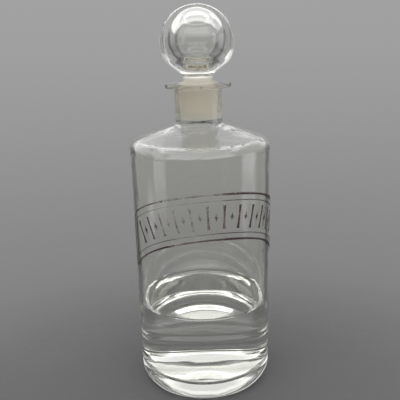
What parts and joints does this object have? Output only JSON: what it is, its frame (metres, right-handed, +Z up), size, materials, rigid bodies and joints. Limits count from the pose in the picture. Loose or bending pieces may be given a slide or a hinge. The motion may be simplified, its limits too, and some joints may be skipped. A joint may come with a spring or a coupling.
{
  "type": "apothecary bottle",
  "caption": "Clear round apothecary bottle with sloping shoulder, flat lip, ground ball stopper that lifts out, arched enamel label band and clear liquid inside.",
  "frame": {"origin": "centre of the foot, on the surface the bottle stands on", "axes": "+Z up along the bottle's axis; -Y is the front, from which the label is read"},
  "size_m": [0.1007, 0.1008, 0.2748],
  "materials": {
    "clear_glass": "clear blown glass, polished by the fire, with faint waves and small seeds",
    "stopper_glass": "clear glass ball and stem, with a fine ground matt plug",
    "clear_liquid": "clear still liquid",
    "label_enamel": "dark brown fired enamel, worn thin in places"
  },
  "bodies": {
    "bottle_body": {"bottle": "clear_glass", "liquid": "clear_liquid", "label_outer_line": "label_enamel", "label_inner_line": "label_enamel", "label_bar_01": "label_enamel", "label_bar_02": "label_enamel", "label_bar_03": "label_enamel", "label_bar_04": "label_enamel", "label_bar_05": "label_enamel", "label_bar_06": "label_enamel", "label_bar_07": "label_enamel", "label_bar_08": "label_enamel", "label_bar_09": "label_enamel", "label_bar_10": "label_enamel", "label_bar_11": "label_enamel", "label_bar_12": "label_enamel", "label_lozenge_01": "label_enamel", "label_lozenge_02": "label_enamel", "label_lozenge_03": "label_enamel", "label_lozenge_04": "label_enamel", "label_lozenge_05": "label_enamel", "label_lozenge_06": "label_enamel", "label_lozenge_07": "label_enamel", "label_lozenge_08": "label_enamel", "label_lozenge_09": "label_enamel", "label_lozenge_10": "label_enamel", "label_lozenge_11": "label_enamel"},
    "stopper_body": {"stopper": "stopper_glass"}
  },
  "joints": [
    {"name": "stopper_lift", "type": "slide", "parent": "bottle_body", "child": "stopper_body", "axis": [0, 0, 1], "range_m": [0, 0.03]}
  ]
}
